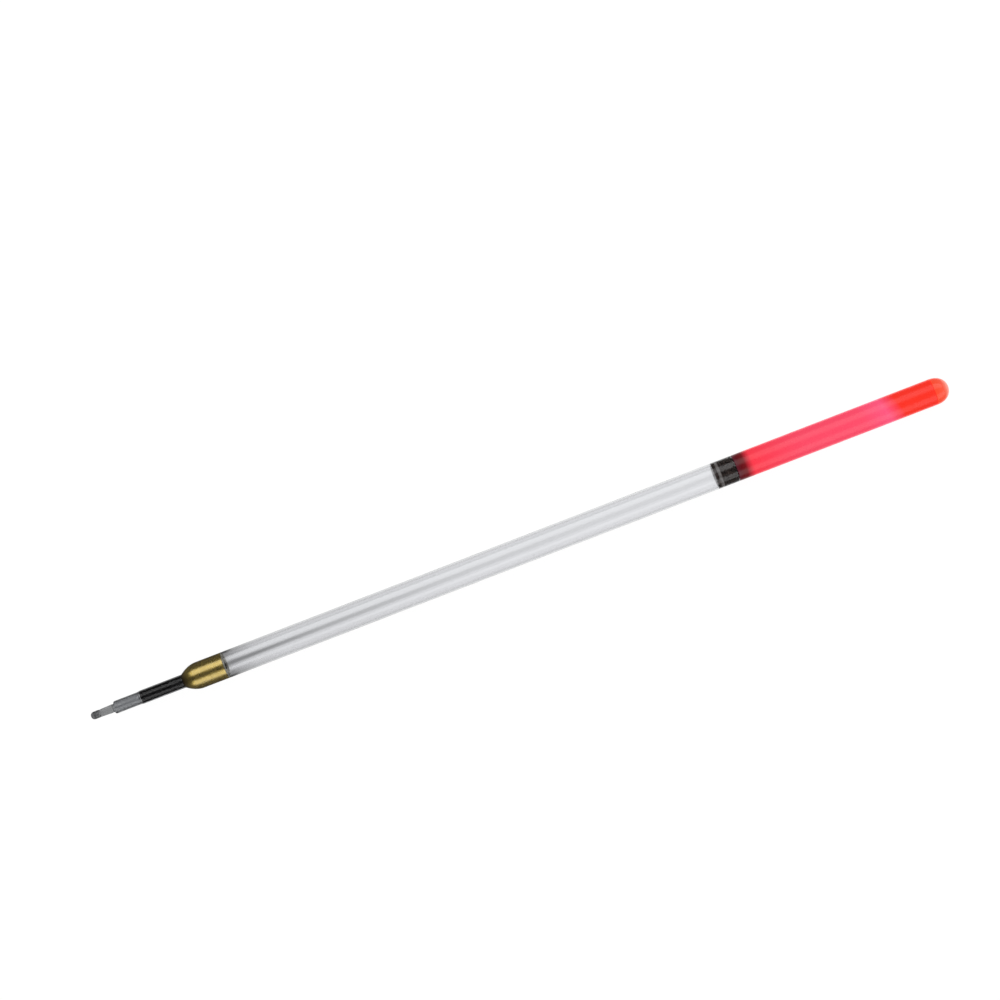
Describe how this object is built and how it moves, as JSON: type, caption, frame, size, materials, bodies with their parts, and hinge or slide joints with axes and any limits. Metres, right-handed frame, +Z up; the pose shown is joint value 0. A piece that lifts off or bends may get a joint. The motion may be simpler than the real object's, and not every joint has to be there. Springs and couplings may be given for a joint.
{
  "type": "fishing float",
  "caption": "Slim clear waggler float with a brass weight at its lower end, a fluorescent red domed tip, and a line eye held in a silicone sleeve.",
  "frame": {"origin": "centre of the float's length and width, on the surface it lies on", "axes": "+X along the float towards the red tip, +Z up from the surface"},
  "size_m": [0.238, 0.007, 0.007],
  "materials": {
    "eye_plastic": "smoky clear moulded plastic, glossy",
    "silicone": "cloudy translucent silicone, satin",
    "black_stem": "black, semi-gloss",
    "brass": "turned brass with fine tool marks",
    "adhesive": "cured clear adhesive",
    "clear_plastic": "polished water-clear plastic",
    "black_joiner": "black moulded plastic behind brownish adhesive",
    "red_plastic": "translucent fluorescent red, glossy",
    "tip_plastic": "translucent fluorescent orange-red, glossy"
  },
  "bodies": {
    "float_body": {"stem": "black_stem", "brass_weight": "brass", "weight_glue_ring": "adhesive", "clear_tube": "clear_plastic", "tube_joiner": "black_joiner", "red_tube": "red_plastic", "tip_plug": "tip_plastic"},
    "sleeve": {"silicone_sleeve": "silicone"},
    "eye": {"base_eye": "eye_plastic"}
  },
  "joints": [
    {"name": "sleeve_slide", "type": "slide", "parent": "float_body", "child": "sleeve", "axis": [-1, 0, 0], "range_m": [0, 0.0125]},
    {"name": "eye_turn", "type": "hinge", "parent": "sleeve", "child": "eye", "pos_m": [-0.1127, 0, 0.0035], "axis": [1, 0, 0], "continuous": true}
  ]
}
